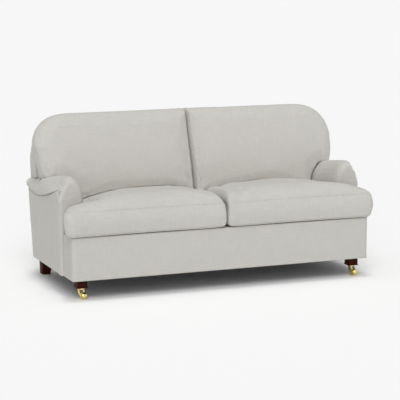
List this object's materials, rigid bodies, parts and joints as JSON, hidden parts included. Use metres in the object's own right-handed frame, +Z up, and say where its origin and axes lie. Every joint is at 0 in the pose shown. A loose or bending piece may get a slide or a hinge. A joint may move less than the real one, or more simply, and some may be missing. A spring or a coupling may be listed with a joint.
{
  "type": "three-seater sofa",
  "caption": "Upholstered roll-arm sofa with T-shaped loose seat cushions, round-shouldered back cushions, block legs and swivel castors in front.",
  "frame": {"origin": "floor level under the middle of the sofa's overall box", "axes": "+X along the sofa to the right as seen from the front, +Y from the front to the back, +Z up"},
  "size_m": [1.834, 0.9, 0.936],
  "materials": {
    "linen": "plain woven linen mix, matt",
    "cushion_linen": "plain woven linen mix, matt",
    "frame_timber": "sawn and planed, unfinished",
    "mahogany": "dark stain under satin lacquer",
    "brass": "polished",
    "steel": "bright drawn",
    "deck_cloth": "calico",
    "webbing": "woven jute",
    "dust_cloth": "black non-woven",
    "zip": "moulded coil on tape"
  },
  "bodies": {
    "root": {"front_rail": "frame_timber", "rear_rail": "frame_timber", "left_side_rail": "frame_timber", "right_side_rail": "frame_timber", "centre_rail": "frame_timber", "corner_blocks": "frame_timber", "left_arm_stump": "frame_timber", "right_arm_stump": "frame_timber", "left_arm_rail": "frame_timber", "right_arm_rail": "frame_timber", "left_back_post": "frame_timber", "right_back_post": "frame_timber", "centre_back_post": "frame_timber", "back_top_rail": "frame_timber", "back_lower_rail": "frame_timber", "seat_springs": "steel", "spring_clips": "steel", "seat_deck": "deck_cloth", "back_webbing": "webbing", "base_cover": "linen", "left_side_panel": "linen", "right_side_panel": "linen", "left_arm_facing": "linen", "right_arm_facing": "linen", "left_arm_pad": "linen", "right_arm_pad": "linen", "left_roll_end": "linen", "right_roll_end": "linen", "inside_back_pad": "linen", "back_border": "linen", "outside_back_cover": "linen", "dust_cover": "dust_cloth", "left_front_leg": "mahogany", "right_front_leg": "mahogany", "left_rear_leg": "mahogany", "right_rear_leg": "mahogany", "leg_bolts": "steel", "left_castor_plate": "brass", "right_castor_plate": "brass", "castor_screws": "brass"},
    "left_castor": {"left_castor_fork": "brass", "left_castor_axle": "brass"},
    "left_wheel": {"left_castor_wheel": "brass"},
    "right_castor": {"right_castor_fork": "brass", "right_castor_axle": "brass"},
    "right_wheel": {"right_castor_wheel": "brass"},
    "left_seat": {"left_seat_cushion": "cushion_linen", "left_seat_zip": "zip"},
    "right_seat": {"right_seat_cushion": "cushion_linen", "right_seat_zip": "zip"},
    "left_back": {"left_back_cushion": "cushion_linen"},
    "right_back": {"right_back_cushion": "cushion_linen"}
  },
  "joints": [
    {"name": "left_castor_swivel", "type": "hinge", "parent": "root", "child": "left_castor", "pos_m": [-0.812, -0.347, 0.055], "axis": [0, 0, 1], "continuous": true},
    {"name": "left_wheel_roll", "type": "hinge", "parent": "left_castor", "child": "left_wheel", "pos_m": [-0.80593, -0.37331, 0.019], "axis": [0.9744, 0.225, 0], "continuous": true},
    {"name": "right_castor_swivel", "type": "hinge", "parent": "root", "child": "right_castor", "pos_m": [0.812, -0.347, 0.055], "axis": [0, 0, 1], "continuous": true},
    {"name": "right_wheel_roll", "type": "hinge", "parent": "right_castor", "child": "right_wheel", "pos_m": [0.81807, -0.37331, 0.019], "axis": [0.9744, 0.225, 0], "continuous": true},
    {"name": "left_seat_out", "type": "slide", "parent": "root", "child": "left_seat", "axis": [0, -1, 0], "range_m": [0, 0.75]},
    {"name": "right_seat_out", "type": "slide", "parent": "root", "child": "right_seat", "axis": [0, -1, 0], "range_m": [0, 0.75]},
    {"name": "left_back_up", "type": "slide", "parent": "root", "child": "left_back", "axis": [0, 0, 1], "range_m": [0, 0.5]},
    {"name": "right_back_up", "type": "slide", "parent": "root", "child": "right_back", "axis": [0, 0, 1], "range_m": [0, 0.5]}
  ]
}
